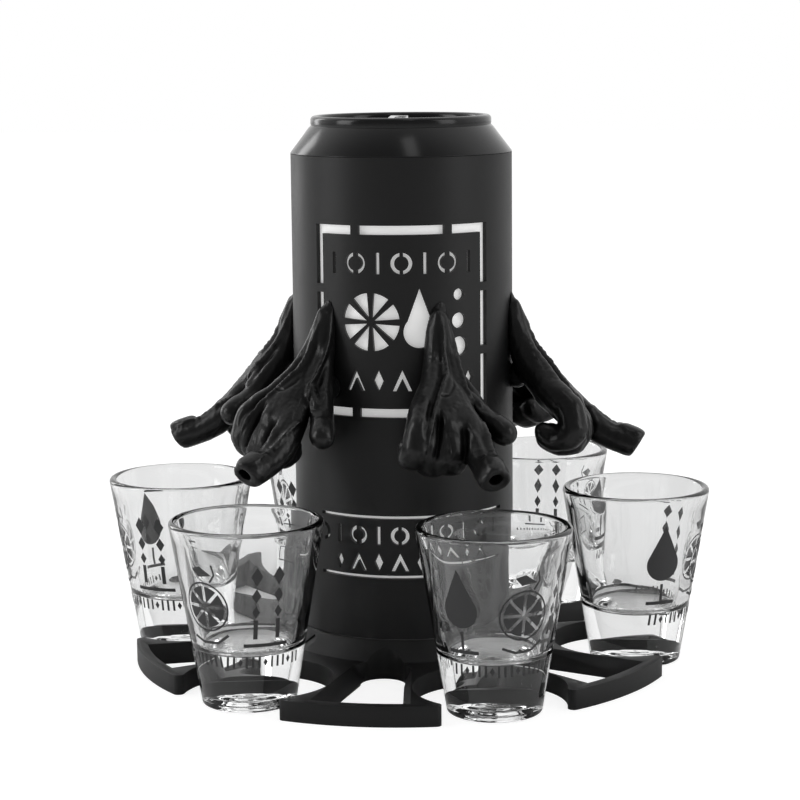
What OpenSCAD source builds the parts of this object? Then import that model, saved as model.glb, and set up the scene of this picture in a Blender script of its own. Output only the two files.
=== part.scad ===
// Party shot dispenser: a can-shaped tower on a six-armed star base. Drink poured in at
// the top runs out through six pointing hands, each over its own shot glass.
// Z is up, the table is Z = 0, the tower's axis is the Z axis and one arm points to -Y.

/* [Tower] */
// Outside diameter of the sleeve and of the top of the base's hub
tower_d = 70; // [67:0.5:74]
// Length of the sleeve from its foot to the shoulder
sleeve_h = 149.4; // [146:0.2:160]
// Wall of the sleeve, which is the depth of its cut-outs
sleeve_wall = 1.4; // [1.2:0.1:2]
// Wall of the white core inside the sleeve
core_wall = 2; // [1.8:0.1:3]
// Clearance all round between the sleeve and the core
core_gap = 0.15; // [0.1:0.05:0.3]
// Visible seam between the hub and the sleeve
seam = 0.3; // [0.2:0.1:0.8]

/* [Reservoir] */
// Height of the outlets above the table
outlet_z = 91; // [89:0.5:93]
// Bore of the channel that runs through each hand
channel_d = 4.2; // [3:0.1:4.6]
// Rise of the conical floor from the outlets to its middle
floor_rise = 9; // [4:0.5:14]
// Thickness of the reservoir's floor
floor_t = 2; // [1.6:0.1:3]
// Wall of the spigot that plugs a hand into the core
spigot_wall = 1.6; // [1.3:0.1:2]
// Clearance round a spigot in the core and in the sleeve
spigot_gap = 0.08; // [0.05:0.01:0.15]
// Thickness of the boss round each outlet, inward from the core's wall
boss_t = 3; // [2.4:0.1:4]
// Width of the boss round the spigot's hole
boss_wall = 2.4; // [2:0.1:3]
// Cord diameter of an outlet seal
seal_cord = 1.3; // [1:0.1:1.4]

/* [Shoulder and rim] */
// Height of the cone between the sleeve and the rim
shoulder_h = 8.8; // [7:0.2:12]
// Outside diameter of the rim
rim_d = 57.1; // [55:0.1:59]
// Height of the rim's bead
rim_h = 2.9; // [2.2:0.1:3.6]
// Thickness of the rim's bead
rim_t = 2.6; // [2.2:0.1:3.2]
// Depth of the lid's seat below the top of the rim
lid_depth = 8.2; // [7.4:0.1:9]
// Width of the ledge that carries the lid
ledge_w = 2.4; // [1.8:0.1:3]
// Depth of the lip that centres the shoulder in the core
lip_h = 5; // [3:0.5:8]
// Clearance round that lip
lip_gap = 0.15; // [0.1:0.05:0.3]
// Wall of the shoulder, the ledge and the lip
shoulder_wall = 1.8; // [1.4:0.1:2.4]

/* [Lid and tab] */
// Thickness of the lid's panel
lid_t = 1.4; // [1.2:0.1:1.8]
// Height of the lid's upturned edge
lid_edge_h = 3.2; // [2.4:0.1:4]
// Thickness of the lid's upturned edge
lid_edge_t = 1.2; // [1:0.1:1.6]
// Clearance round the lid in its seat
lid_gap = 0.2; // [0.1:0.05:0.3]
// Diameter of the pour mouth
mouth_d = 19; // [15:0.5:20]
// Distance of the pour mouth from the tower's axis
mouth_y = 11.5; // [10:0.5:12]
// Distance of the tab's hinge from the tower's axis
hinge_y = 17.5; // [16:0.5:18]
// Length of the tab from its hinge to its tip
tab_len = 15.6; // [13:0.2:17]
// Width of the tab at its tip
tab_tip_w = 5.4; // [5:0.1:7]
// Width of the tab at its hinge
tab_root_w = 11; // [9.5:0.1:13]
// Width of the strap that makes the tab's loop
tab_strap = 1.7; // [1.4:0.1:2]
// Thickness of the tab
tab_t = 1.3; // [1:0.1:1.5]
// Angle by which the tab stands up from the lid
tab_raise = 13; // [8:1:40]
// Diameter of the tab's hinge pin
tab_pin_d = 1.6; // [1.4:0.1:2]
// Radial clearance of the pin in its knuckle
pin_gap = 0.06; // [0.03:0.01:0.1]
// Wall of the knuckle round the pin
knuckle_wall = 0.9; // [0.7:0.1:1.2]
// Width of the knuckle and of the clip's plate
clip_w = 5; // [4:0.1:5.6]
// Thickness of the clip's plate
clip_t = 0.8; // [0.6:0.1:1.2]
// Diameter of the rivet that holds the clip
rivet_d = 2.4; // [2:0.1:3]

/* [Base] */
// Height of the hub
hub_h = 12; // [11:0.5:15]
// Diameter of the hub's flared foot where it meets the arms
hub_foot_d = 80; // [76:0.5:84]
// Height of the arms
arm_h = 6.2; // [5:0.1:7]
// Distance of the arms' outer faces from the tower's axis
arm_reach = 87.4; // [84:0.2:96]
// Thickness of the curved bar at the end of an arm
bar_t = 3.4; // [2.6:0.1:5]
// Half the angle between the sides of an arm's window at the table
window_angle = 8.5; // [6:0.1:9]
// Lean of the window's side walls from the vertical
window_draft = 22; // [10:1:26]
// Radius of the window's round inner end at the table
window_end_r = 7; // [5:0.1:7.4]
// Depth of that end inside the hub's foot
window_bite = 3.4; // [2:0.1:4]
// Radius of the vertical corners at the arms' ends
arm_corner_r = 1.8; // [1:0.1:2.4]
// Radius of the round pockets between the arms
pocket_r = 23.2; // [22.8:0.1:24]
// Distance of the pockets' middles from the tower's axis
pocket_circle_r = 71; // [70:0.1:72]
// Depth of the socket in the hub's top that locates the tower
socket_depth = 2.4; // [1.6:0.1:3]
// Clearance round the tower's foot in that socket
socket_gap = 0.2; // [0.1:0.05:0.3]
// Turn of the notch in the hub's flank from the front arm towards +X
notch_turn = -45; // [-50:1:-40]
// Length of that notch
notch_l = 4.6; // [3:0.1:5]
// Width of that notch
notch_w = 1.3; // [0.8:0.1:1.6]

/* [Shot glasses] */
// Distance of each glass from the tower's axis
glass_circle_r = 74.6; // [72:0.2:80]
// Height of a glass
glass_h = 56; // [52:0.5:60]
// Outside diameter of a glass at its rim
glass_rim_d = 46.8; // [42:0.1:47]
// Outside diameter of a glass at its foot
glass_foot_d = 28.6; // [25:0.1:34]
// Thickness of the solid glass under the drink
glass_floor = 17.5; // [12:0.5:20]
// Wall of a glass at its rim
glass_wall = 2; // [1.6:0.1:2.6]
// Depth of the hollow under the foot
punt_h = 1.6; // [1:0.1:3]

/* [Hands] */
// Distance of the middle of the spout's end from the tower's axis
spout_r = 74.9; // [72:0.2:78]
// Height of the middle of the spout's end above the table
spout_z = 68.7; // [67.5:0.1:71]
// Angle between the spout's cut end and the vertical
spout_cut = 33; // [25:1:45]
// Radius of the index finger that is the spout
spout_finger_r = 4.6; // [4.2:0.1:5]
// Radius of the curled fingers
finger_r = 4.4; // [4.1:0.1:4.8]
// Distance between the middles of neighbouring curled fingers
finger_pitch = 6; // [5.6:0.1:6.4]
// Radius of the thumb's end
thumb_r = 4; // [3.6:0.1:4.4]
// Height of the wrist's root above the table
wrist_z = 118.5; // [114:0.5:124]
// Gap between a hand and the sleeve that it sits on
hand_gap = 0.05; // [0.02:0.01:0.2]

/* [Cut-outs] */
// Turn of the cut-out panel from the front arm towards +X
panel_turn = 9; // [0:1:15]
// Side of the square frame
frame_side = 59; // [56:0.5:60]
// Height of the frame's lower edge above the table
frame_z = 82.2; // [79:0.2:86]
// Width of the frame's slots
frame_slot = 2.8; // [2:0.1:3.4]
// Length of the bridges that interrupt the frame
frame_gap = 2.6; // [2:0.1:5]
// Height of the lower band's bottom slot above the table
band_z = 31.6; // [26:0.5:40]
// Distance between the two slots of the lower band
band_h = 18.8; // [16:0.2:22]
// Width of the lower band's slots
band_slot = 1; // [0.8:0.1:1.4]

// Width of the strokes of the small motifs
stroke = 1.1; // [0.8:0.1:1.4]
// Distance of the two rows of small motifs from the middle of the frame
row_z = 18; // [17:0.5:19]
// Height of those motifs
row_h = 6.6; // [5:0.2:7]

/* [Hidden] */
$fn = 96;
eps = 0.01;          // Overshoot of a cut past the face that it opens
corner_lap = 0.03;   // Overlap where a rounding meets the curves that it joins
step = 360 / 6;      // Angle between neighbouring arms, hands or glasses

tower_r = tower_d / 2;
sleeve_in_r = tower_r - sleeve_wall;
core_r = sleeve_in_r - core_gap;
core_in_r = core_r - core_wall;
core_z0 = hub_h - socket_depth;
sleeve_z0 = hub_h + seam;
sleeve_z1 = sleeve_z0 + sleeve_h;
rim_r = rim_d / 2;
rim_z0 = sleeve_z1 + shoulder_h;
rim_z1 = rim_z0 + rim_h;
hub_foot_r = hub_foot_d / 2;

// Places a child at this angle from the front arm, with X pointing outward
module around(angle) { rotate([0, 0, angle - 90]) children(); }

// Angle of hand or glass number i, which stand between the arms
function between(i) = (i - 0.5) * step - 60;

// ---- Base ------------------------------------------------------------------

// Plan of a glass pocket, with the small rounds where it meets the arms' outer faces
module pocket_plan() {
    round_d = arm_reach - arm_corner_r;
    pocket_d = pocket_r + arm_corner_r;
    turn = acos((round_d * round_d + pocket_circle_r * pocket_circle_r - pocket_d * pocket_d)
                / (2 * round_d * pocket_circle_r));
    centre = round_d * [cos(turn), sin(turn)];
    outside = arm_reach + 1;
    translate([pocket_circle_r, 0]) circle(r = pocket_r);
    for (side = [0, 1]) mirror([0, side])
        difference() {
            polygon([centre, centre * outside / round_d, outside * [cos(turn / 2), sin(turn / 2)],
                     [pocket_circle_r, 0]]);
            translate(centre) circle(r = arm_corner_r + corner_lap);
        }
}

// Hollow of an arm: leaning side walls, a round inner end, and the bar left outside it
module arm_window() {
    big = 2 * arm_reach;
    end_x = hub_foot_r - window_bite + window_end_r;
    mouth_r = window_end_r + arm_h * tan(window_draft);
    mouth_x = hub_foot_r - window_bite / 2 + mouth_r;
    intersection() {
        union() {
            intersection() {
                rotate([0, 0, window_angle]) rotate([-window_draft, 0, 0])
                    translate([-big / 2, -big, -big / 2]) cube(big);
                rotate([0, 0, -window_angle]) rotate([window_draft, 0, 0])
                    translate([-big / 2, 0, -big / 2]) cube(big);
                union() {
                    translate([mouth_x, 0, -eps]) cylinder(r = mouth_r, h = hub_h);
                    translate([mouth_x, -big / 2, -eps]) cube([big, big, hub_h]);
                }
            }
            translate([end_x, 0, -eps]) cylinder(r = window_end_r, h = hub_h);
        }
        translate([0, 0, -1]) cylinder(r = arm_reach - bar_t, h = hub_h + 2);
    }
}

module base_star() {
    flank = atan2(hub_foot_r - tower_r, hub_h - arm_h);
    color("#202022") difference() {
        union() {
            linear_extrude(arm_h) difference() {
                circle(r = arm_reach);
                for (i = [1:6]) around(between(i)) pocket_plan();
            }
            cylinder(r = tower_r, h = hub_h);
            translate([0, 0, arm_h])
                cylinder(r1 = hub_foot_r, r2 = tower_r, h = hub_h - arm_h);
        }
        for (i = [0:5]) around(i * step) arm_window();
        translate([0, 0, core_z0]) cylinder(r = core_r + socket_gap, h = socket_depth + eps);
        around(notch_turn) translate([(hub_foot_r + tower_r) / 2, 0, (hub_h + arm_h) / 2])
            rotate([0, -flank, 0]) rotate([-35, 0, 0])
                translate([-notch_w / 2, -notch_w / 2, -notch_l / 2]) cube([4, notch_w, notch_l]);
    }
}

// ---- Core, sleeve and shoulder -----------------------------------------------

spigot_r = channel_d / 2 + spigot_wall;
spigot_x = core_in_r - boss_t;                         // Inner end of a spigot
seal_face_x = core_r - 0.5 - seal_cord - 0.1;          // Floor of a seal's counterbore
seal_ring_r = spigot_r + seal_cord / 2 + 0.04;

// Cylinder along X, from x0 to x1, at outlet height
module along_x(r, x0, x1) {
    translate([x0, 0, outlet_z]) rotate([0, 90, 0]) cylinder(r = r, h = x1 - x0);
}

module core() {
    floor_z = outlet_z - channel_d / 2 - 0.4;
    color("#f2f2f0") difference() {
        union() {
            translate([0, 0, core_z0]) difference() {
                cylinder(r = core_r, h = sleeve_z1 - core_z0);
                translate([0, 0, -1]) cylinder(r = core_in_r, h = sleeve_z1 - core_z0 + 2);
            }
            rotate_extrude() polygon([[0, floor_z + floor_rise], [core_in_r + core_wall / 2, floor_z],
                [core_in_r + core_wall / 2, floor_z - floor_t], [0, floor_z + floor_rise - floor_t]]);
            intersection() {
                for (i = [1:6]) around(between(i))
                    along_x(spigot_r + boss_wall, spigot_x, core_in_r + core_wall / 2);
                cylinder(r = core_in_r + core_wall / 2, h = sleeve_z1);
            }
        }
        for (i = [1:6]) around(between(i)) {
            along_x(spigot_r + spigot_gap, spigot_x - 2, tower_r);
            along_x(spigot_r + seal_cord + 0.2, seal_face_x, tower_r);
        }
    }
}

module outlet_seals() {
    color("#3c3c3e") for (i = [1:6]) around(between(i))
        translate([seal_face_x + seal_cord / 2 + 0.03, 0, outlet_z]) rotate([0, 90, 0])
            rotate_extrude() translate([seal_ring_r, 0]) circle(d = seal_cord, $fn = 32);
}

// Removes a shape drawn flat, X sideways and Y up, through the wall at this panel angle
module pierce(angle, z) {
    around(panel_turn + angle) translate([sleeve_in_r - 3, 0, z])
        rotate([90, 0, 90]) linear_extrude(sleeve_wall + 6) children();
}

// Sector of the wall between two panel angles, which passes the wall's faces by some more
module band(a0, a1, z0, h, past = 1) {
    rotate([0, 0, panel_turn + a0 - 90]) translate([0, 0, z0]) rotate_extrude(angle = a1 - a0)
        translate([sleeve_in_r - past, 0]) square([sleeve_wall + 2 * past, h]);
}

// Angle on the sleeve that an arc of this length takes up
function arc_angle(len) = len / tower_r * 180 / PI;

// Square frame, interrupted by bridges that hold the panel inside it
module frame_cuts() {
    reach = arc_angle(frame_side / 2);
    slot = arc_angle(frame_slot);
    bridge = arc_angle(frame_gap) / 2;
    difference() {
        band(-reach, reach, frame_z, frame_side);
        band(-reach + slot, reach - slot, frame_z + frame_slot, frame_side - 2 * frame_slot, 2);
        for (a = [-reach / 2, reach / 2]) band(a - bridge, a + bridge, frame_z - 1, frame_side + 2, 3);
        for (i = [1, 2])
            band(-reach - 1, reach + 1, frame_z + i * frame_side / 3 - frame_gap / 2, frame_gap, 4);
    }
}

// Eight segments of a cut citrus fruit
module citrus(r) {
    for (i = [0:7]) rotate(i * 45 + 22.5) intersection() {
        circle(r = r, $fn = 64);
        translate([r * 0.12, 0]) polygon([[0, 0], [r, r * 0.33], [r, -r * 0.33]]);
    }
}

// Two arcs that face each other
module arcs(r) {
    difference() {
        circle(r = r, $fn = 48);
        circle(r = r - stroke, $fn = 48);
        square([stroke, 2 * r + 1], center = true);
    }
}

// Chevron of two strokes, with its point up
module chevron(w, h) {
    rise = stroke * norm([w / 2, h]) / (w / 2);
    polygon([[-w / 2, 0], [0, h], [w / 2, 0], [w / 2 - stroke, 0], [0, h - rise], [stroke - w / 2, 0]]);
}

// Drop with its point up
module drop(r) {
    circle(r = r, $fn = 48);
    polygon([[-r * 0.88, r * 0.3], [0, r * 2.7], [r * 0.88, r * 0.3]]);
}

module lozenge(w, h) { polygon([[-w / 2, 0], [0, h / 2], [w / 2, 0], [0, -h / 2]]); }

module sleeve() {
    mid_z = frame_z + frame_side * 0.5;
    color("#232325") difference() {
        translate([0, 0, sleeve_z0]) difference() {
            cylinder(r = tower_r, h = sleeve_h);
            translate([0, 0, -1]) cylinder(r = sleeve_in_r, h = sleeve_h + 2);
        }
        for (i = [1:6]) around(between(i))
            along_x(spigot_r + spigot_gap, core_in_r, tower_r + 1);
        frame_cuts();
        for (i = [-3:3]) pierce(i * 12, mid_z + row_z)
            if (i % 2 == 0) arcs(row_h / 2); else square([stroke, row_h], center = true);
        pierce(-16, mid_z) citrus(9);
        pierce(9, mid_z - 3) drop(5);
        for (i = [-1:1]) pierce(30, mid_z + i * 8) circle(r = 2.4 - i * 0.6, $fn = 32);
        // The lower row is left out where the hands' spigots pass
        for (i = [-2, -1, 0, 1, 3]) pierce(i * 12, mid_z - row_z - row_h / 2)
            if (i % 2 == 0) chevron(6, row_h); else translate([0, row_h / 2]) lozenge(3, row_h);
        band(-47, 60, band_z, band_slot);
        band(-47, 60, band_z + band_h, band_slot);
        for (i = [-4:5]) pierce(i * 11 - 2, band_z + band_h * 0.72)
            if (i % 2 == 0) arcs(2.9); else square([stroke, 5.8], center = true);
        for (i = [-3:4]) pierce(i * 11 - 2, band_z + band_h * 0.12)
            if (i % 2 == 0) chevron(5.6, 5.8); else translate([0, 2.9]) lozenge(2.6, 5.8);
    }
}

module shoulder_ring() {
    seat_r = rim_r - rim_t;
    seat_z = rim_z1 - lid_depth;
    lip_r = core_in_r - lip_gap;
    bead = rim_t / 2;
    color("#2c2c2e") rotate_extrude() polygon(concat(
        [for (a = [0:15:180]) [rim_r - bead + bead * cos(a), rim_z1 - bead + bead * sin(a)]],
        [[seat_r, seat_z], [seat_r - ledge_w, seat_z], [seat_r - ledge_w, seat_z - shoulder_wall],
         [lip_r - shoulder_wall, sleeve_z1 - 0.5], [lip_r - shoulder_wall, sleeve_z1 - lip_h],
         [lip_r, sleeve_z1 - lip_h], [lip_r, sleeve_z1], [tower_r, sleeve_z1],
         [rim_r - 0.2, rim_z0 - 0.3], [rim_r, rim_z0]]));
}

// ---- Lid and tab -------------------------------------------------------------

lid_r = rim_r - rim_t - lid_gap;
lid_z = rim_z1 - lid_depth;
panel_z = lid_z + lid_t;
knuckle_r = tab_pin_d / 2 + pin_gap + knuckle_wall;
hinge_z = panel_z + clip_t + knuckle_r;
rivet_y = hinge_y - knuckle_r - rivet_d - 0.8;

module lid() {
    color("#2c2c2e") difference() {
        rotate_extrude() polygon([
            [0, lid_z], [lid_r, lid_z], [lid_r, lid_z + lid_edge_h],
            [lid_r - lid_edge_t, lid_z + lid_edge_h], [lid_r - lid_edge_t - 0.5, panel_z], [0, panel_z]]);
        translate([0, mouth_y, lid_z - 1]) cylinder(d = mouth_d, h = lid_t + 2);
        translate([0, -rivet_y, lid_z - 1]) cylinder(d = rivet_d + 0.1, h = lid_t + 2);
    }
}

module tab_clip() {
    plate_l = hinge_y - rivet_y + rivet_d + 1;
    color("#4a4a4c") difference() {
        union() {
            translate([-clip_w / 2, -hinge_y, panel_z]) cube([clip_w, plate_l, clip_t]);
            translate([-clip_w / 2, -hinge_y - knuckle_r, panel_z]) cube([clip_w, 2 * knuckle_r, knuckle_r + clip_t]);
            translate([-clip_w / 2, -hinge_y, hinge_z]) rotate([0, 90, 0]) cylinder(r = knuckle_r, h = clip_w);
        }
        translate([-clip_w / 2 - 1, -hinge_y, hinge_z]) rotate([0, 90, 0])
            cylinder(d = tab_pin_d + 2 * pin_gap, h = clip_w + 2);
        translate([0, -rivet_y, panel_z - 1]) cylinder(d = rivet_d + 0.1, h = clip_t + 2);
    }
}

// Rivet through the clip and the lid, with a low head above and a formed head below
module tab_rivet() {
    head_r = rivet_d * 0.9;
    color("#4a4a4c") translate([0, -rivet_y, 0]) rotate_extrude(convexity = 4) polygon([
        [0, lid_z - 0.9], [head_r - 0.3, lid_z - 0.9], [head_r, lid_z - 0.6], [head_r, lid_z],
        [rivet_d / 2, lid_z], [rivet_d / 2, panel_z + clip_t], [head_r, panel_z + clip_t],
        [head_r, panel_z + clip_t + 0.4], [head_r - 0.5, panel_z + clip_t + 0.8],
        [0, panel_z + clip_t + 0.8]]);
}

module pull_tab() {
    tip = tab_tip_w / 2;
    root = tab_root_w / 2;
    color("#5a5a5c") translate([0, -hinge_y, hinge_z]) rotate([tab_raise, 0, 0]) union() {
        difference() {
            translate([0, 0, -tab_t / 2]) linear_extrude(tab_t) difference() {
                polygon([[-root, 0], [root, 0], [tip, tab_len], [-tip, tab_len]]);
                polygon([[-root + tab_strap, -1], [root - tab_strap, -1],
                         [tip - tab_strap, tab_len - tab_strap], [-tip + tab_strap, tab_len - tab_strap]]);
            }
        }
        for (side = [-1, 1]) translate([side * (root - tab_strap / 2), 0, 0]) rotate([0, 90, 0])
            cylinder(r = knuckle_r, h = tab_strap, center = true);
        rotate([0, 90, 0]) cylinder(d = tab_pin_d, h = tab_root_w - tab_strap, center = true);
    }
}

// ---- Shot glasses --------------------------------------------------------------

// Radius of a glass's outside at height z
function glass_r(z) = (glass_foot_d + (glass_rim_d - glass_foot_d) * z / glass_h) / 2;

module shot_glass() {
    lip = glass_wall / 2;
    inner_r = glass_r(glass_floor) - glass_wall - 1;
    color("#dfe6ea", 0.4) translate([glass_circle_r, 0, 0]) rotate_extrude() difference() {
        union() {
            polygon([[0, 0], [glass_foot_d / 2 - 1, 0], [glass_r(1), 1], [glass_r(glass_h - lip), glass_h - lip],
                     [glass_r(glass_h - lip) - glass_wall, glass_h - lip], [0, glass_floor]]);
            translate([glass_r(glass_h - lip) - lip, glass_h - lip]) circle(r = lip, $fn = 32);
        }
        polygon([[0, glass_floor], [inner_r - 2, glass_floor], [inner_r, glass_floor + 2],
                 [glass_r(glass_h - lip) - glass_wall, glass_h - lip], [0, glass_h - lip]]);
        polygon([[0, -1], [glass_foot_d / 2 - 4, -1], [glass_foot_d / 2 - 4, 0], [0, punt_h]]);
    }
}

// ---- Hands ---------------------------------------------------------------------

// A smooth curve through the knots, at parameter u from 0 to the number of spans
function curve(knots, u) =
    let (last = len(knots) - 1, i = min(floor(u), last - 1), t = u - i,
         a = knots[max(i - 1, 0)], b = knots[i], c = knots[i + 1], d = knots[min(i + 2, last)])
    0.5 * (2 * b + (c - a) * t + (2 * a - 5 * b + 4 * c - d) * t * t
           + (3 * b - a - 3 * c + d) * t * t * t);

function unit(v) = v / norm(v);
function xyz(k) = [k[0], k[1], k[2]];

// One ring of a limb: an ellipse square to the curve. Each knot holds x, y, z and the
// ellipse's half width and half thickness.
function ring(knots, u, sides, grow, push) =
    let (k = curve(knots, u), last = len(knots) - 1,
         along = unit(xyz(curve(knots, min(u + 0.02, last)) - curve(knots, max(u - 0.02, 0)))),
         wide = unit([0, 1, 0] - along[1] * along), thick = cross(wide, along),
         centre = xyz(k) + push * along)
    [for (i = [0:sides - 1]) let (a = 360 * i / sides)
        centre + grow * (k[3] * cos(a) * wide + k[4] * sin(a) * thick)];

// A limb of the hand: rings along the knots, closed by a rounded or a flat cap at each end
module limb(knots, rings, sides, cap0 = 1, cap1 = 1) {
    last = len(knots) - 1;
    bulge0 = cap0 * knots[0][4];
    bulge1 = cap1 * knots[last][4];
    all = concat(
        cap0 > 0 ? [for (a = [60, 30]) ring(knots, 0, sides, cos(a), -bulge0 * sin(a))] : [],
        [for (i = [0:rings]) ring(knots, i * last / rings, sides, 1, 0)],
        cap1 > 0 ? [for (a = [30, 60]) ring(knots, last, sides, cos(a), bulge1 * sin(a))] : []);
    n = len(all);
    start = xyz(knots[0]) - bulge0 * unit(xyz(curve(knots, 0.02) - curve(knots, 0)));
    finish = xyz(knots[last]) + bulge1 * unit(xyz(curve(knots, last) - curve(knots, last - 0.02)));
    points = concat([for (r = all) each r], [start, finish]);
    faces = concat(
        [for (i = [0:sides - 1]) [n * sides, (i + 1) % sides, i]],
        [for (j = [0:n - 2]) for (i = [0:sides - 1]) let (k = (i + 1) % sides)
            each [[j * sides + i, (j + 1) * sides + k, (j + 1) * sides + i],
                  [j * sides + i, j * sides + k, (j + 1) * sides + k]]],
        [for (i = [0:sides - 1]) [n * sides + 1, (n - 1) * sides + i, (n - 1) * sides + (i + 1) % sides]]);
    polyhedron(points, faces);
}

hand_reach = spout_r - tower_r;                        // From the sleeve to the spout's end
hand_drop = wrist_z - spout_z;                         // From the wrist's root to the spout's end

// A point of the hand, in shares of its reach, of a finger's pitch and of its drop
function spot(out, side, up) =
    [tower_r + out * hand_reach, side * finger_pitch, spout_z + up * hand_drop];

// Knots for a limb, from such points and from half widths in shares of a finger's radius
function knots(rows) = [for (r = rows)
    concat(spot(r[0], r[1], r[2]), [r[3] * finger_r, r[4] * finger_r])];

bend_1 = [spot(0.15, 0, 0)[0], 0, outlet_z];           // Bends of the channel
bend_2 = spot(0.539, 0.167, 0.173);
spout_end = spot(1.15, 0.05, -0.032);

// Channel from one point to another
module pipe(a, b) {
    way = b - a;
    translate(a) rotate([0, acos(way[2] / norm(way)), atan2(way[1], way[0])])
        cylinder(d = channel_d, h = norm(way), $fn = 12);
}

// Curled finger number i, counted from the little finger: out over its knuckle, down to
// the middle joint and back under the palm
module curled_finger(i) {
    lean = i == 0 ? 1 : 0;                              // The little finger is short and slants
    x = 0.556 - 0.03 * lean;
    y = i - 2.9;
    z = 0.1 + 0.048 * lean;
    limb(knots([[x - 0.275 + 0.05 * lean, y + 0.667 - i / 6 + lean / 3, z + 0.25, 0.82, 0.77],
                [x - 0.125 + 0.05 * lean, y + 0.233 + lean / 3, z + 0.17, 1, 0.95],
                [x - 0.02, y + 0.05 + lean / 6, z + 0.09, 1, 0.91], [x, y, z, 1, 0.95],
                [x - 0.085, y, z - 0.054, 1, 0.98],
                [x - 0.235, y + 0.1, z - 0.02, 0.89, 0.89]]), 7, 8);
}

// Raised tendon through a row of such points
module tendon(rows) {
    points = [for (r = rows) spot(r[0], r[1], r[2])];
    for (i = [1:len(points) - 1]) hull()
        for (p = [points[i - 1], points[i]]) translate(p) sphere(r = finger_r / 3, $fn = 6);
}

// Fingernail, lying on a finger that falls by this angle
module nail(place, fall, turn) {
    half_w = finger_r * 0.68;
    translate(place) rotate([0, 0, turn]) rotate([0, fall, 0]) hull()
        for (end = [-1, 1]) translate([end * finger_r * 0.39, 0, -finger_r * 0.18])
            cylinder(r1 = half_w, r2 = half_w * 0.83, h = finger_r * 0.3, $fn = 8);
}

module hand() {
    x0 = tower_r;
    difference() {
        union() {
            // Forearm and back of the hand, from the wrist's root on the sleeve to the knuckles
            limb(knots([[-0.05, 0.033, 1.01, 0.32, 0.27], [-0.003, -0.25, 0.859, 0.75, 0.52],
                        [0.058, -0.35, 0.689, 1.07, 0.86], [0.17, -0.517, 0.52, 1.43, 1.14],
                        [0.326, -0.9, 0.384, 2.14, 1.18], [0.451, -1.25, 0.287, 2.55, 1.05]]), 8, 12);
            for (i = [0:2]) curled_finger(i);
            // Index finger, which is the spout
            limb(concat(knots([[0.351, -0.3, 0.367, 1.09, 0.95], [0.511, 0.067, 0.235, 1.14, 1],
                               [0.639, 0.217, 0.131, 1.09, 1]]),
                        [concat(spot(0.777, 0.233, 0.066), spout_finger_r * [1, 0.89]),
                         concat(spot(0.902, 0.15, 0.032), spout_finger_r * [1.07, 0.91]),
                         concat(spot(1.125, 0.05, -0.034), spout_finger_r * [1, 0.91])]), 7, 10, 1, 0);
            // Thumb
            limb(concat(knots([[0.095, -0.1, 0.588, 0.86, 0.73], [0.185, 0.3, 0.458, 0.95, 0.86],
                               [0.306, 1.117, 0.311, 0.8, 0.77]]),
                        [concat(spot(0.466, 2.05, 0.211), [thumb_r, thumb_r])]), 6, 8);
            tendon([[0.04, -0.367, 0.89], [0.15, -0.567, 0.657], [0.326, -0.933, 0.496],
                    [0.491, -1.767, 0.355]]);
            tendon([[0.045, -0.1, 0.869], [0.14, -0.033, 0.649], [0.241, 0.1, 0.508],
                    [0.361, 1.067, 0.376]]);
            nail(spot(0.965, 0.1, 0.11), 20, -4);
            nail(spot(0.474, 2.133, 0.251), 50, 44);
            along_x(spigot_r, spigot_x, x0 + hand_reach / 10, $fn = 24);
        }
        // Seat on the sleeve, round the spigot
        difference() {
            translate([0, 0, outlet_z - wrist_z]) cylinder(r = x0 + hand_gap, h = 2 * wrist_z, $fn = 72);
            along_x(spigot_r, 0, x0 + 2, $fn = 24);
        }
        // Oblique end of the spout
        translate([spout_r, 0, spout_z]) rotate([0, spout_cut, 0])
            translate([0, -10, -20]) cube([20, 20, 40]);
        // Channel, level through the sleeve and then down inside the index finger
        along_x(channel_d / 2, 0, bend_1[0], $fn = 12);
        for (bend = [bend_1, bend_2]) translate(bend) sphere(d = channel_d, $fn = 12);
        pipe(bend_1, bend_2);
        pipe(bend_2, spout_end);
    }
}

module finished_hand(angle) {
    color("#202022") around(angle) hand();
}

base_star();
core();
sleeve();
shoulder_ring();
outlet_seals();
lid();
tab_clip();
tab_rivet();
pull_tab();
for (i = [1:6]) {
    finished_hand(between(i));
    around(between(i)) shot_glass();
}
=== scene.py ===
# %% [markdown]
# # A party shot dispenser
# This notebook dresses the CAD model of a drinks dispenser: a tower in the form of a
# drinks can on a six-armed star base, with six pointing hands round it that pour into
# six shot glasses. The CAD model fixes every place and size. Here each piece gets the
# edges, curves and finish that make it look like the real object.

# %% Load the CAD model
import math

import bmesh
import bpy
import numpy as np
from mathutils import Matrix, Vector, noise


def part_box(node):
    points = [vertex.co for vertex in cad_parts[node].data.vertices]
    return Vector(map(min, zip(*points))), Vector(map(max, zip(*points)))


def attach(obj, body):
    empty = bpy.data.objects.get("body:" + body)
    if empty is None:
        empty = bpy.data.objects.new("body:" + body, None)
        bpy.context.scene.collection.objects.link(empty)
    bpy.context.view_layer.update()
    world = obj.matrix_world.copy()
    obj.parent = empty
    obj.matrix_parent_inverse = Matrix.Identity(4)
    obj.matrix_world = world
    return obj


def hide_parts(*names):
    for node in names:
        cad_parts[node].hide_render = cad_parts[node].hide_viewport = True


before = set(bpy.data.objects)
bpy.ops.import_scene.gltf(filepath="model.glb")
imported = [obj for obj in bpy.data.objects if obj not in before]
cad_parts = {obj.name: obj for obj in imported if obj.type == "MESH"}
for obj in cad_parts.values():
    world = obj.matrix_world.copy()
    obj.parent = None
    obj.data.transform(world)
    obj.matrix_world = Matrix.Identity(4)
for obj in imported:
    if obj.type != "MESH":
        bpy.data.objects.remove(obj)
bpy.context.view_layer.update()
MM = 0.001

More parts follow.
